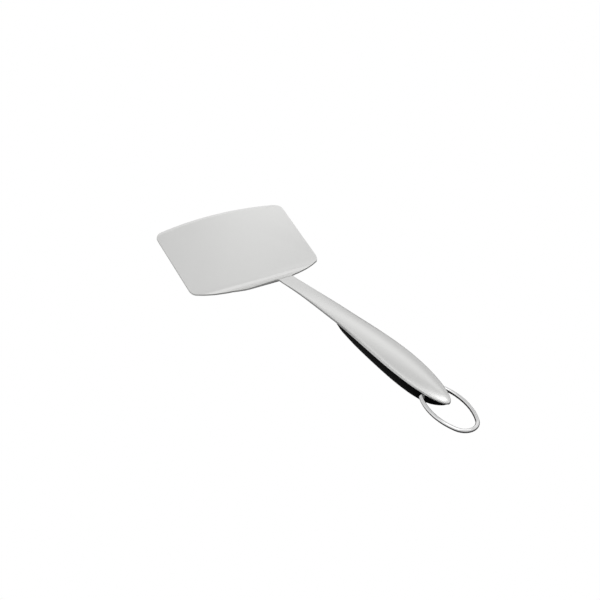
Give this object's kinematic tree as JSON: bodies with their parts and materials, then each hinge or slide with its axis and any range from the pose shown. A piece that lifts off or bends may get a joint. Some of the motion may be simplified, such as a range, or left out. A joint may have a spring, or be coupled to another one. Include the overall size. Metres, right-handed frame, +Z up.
{
  "type": "turner",
  "caption": "Wide slotless kitchen turner: a flat steel blade, a swept throat and a domed steel handle top over a dark grip, with a swinging wire hanging loop.",
  "frame": {"origin": "on the table that the tool lies on, under the middle of the whole tool", "axes": "+X from the blade towards the hanging loop, +Z up from the table, +Y across the blade"},
  "size_m": [0.3335, 0.12, 0.0326],
  "materials": {
    "satin_steel": "satin, fine grain",
    "grip": "smooth, semi-matt",
    "fixings": "plain",
    "wire": "polished"
  },
  "bodies": {
    "turner": {"turner_pressing": "satin_steel", "under_grip": "grip", "weld_studs": "fixings", "grip_screws": "fixings", "loop_bush": "fixings"},
    "loop": {"hanging_loop": "wire"}
  },
  "joints": [
    {"name": "loop_swing", "type": "hinge", "parent": "turner", "child": "loop", "pos_m": [0.12412, 0, 0.00859], "axis": [0, -1, 0], "range_deg": [-156, 168]}
  ]
}
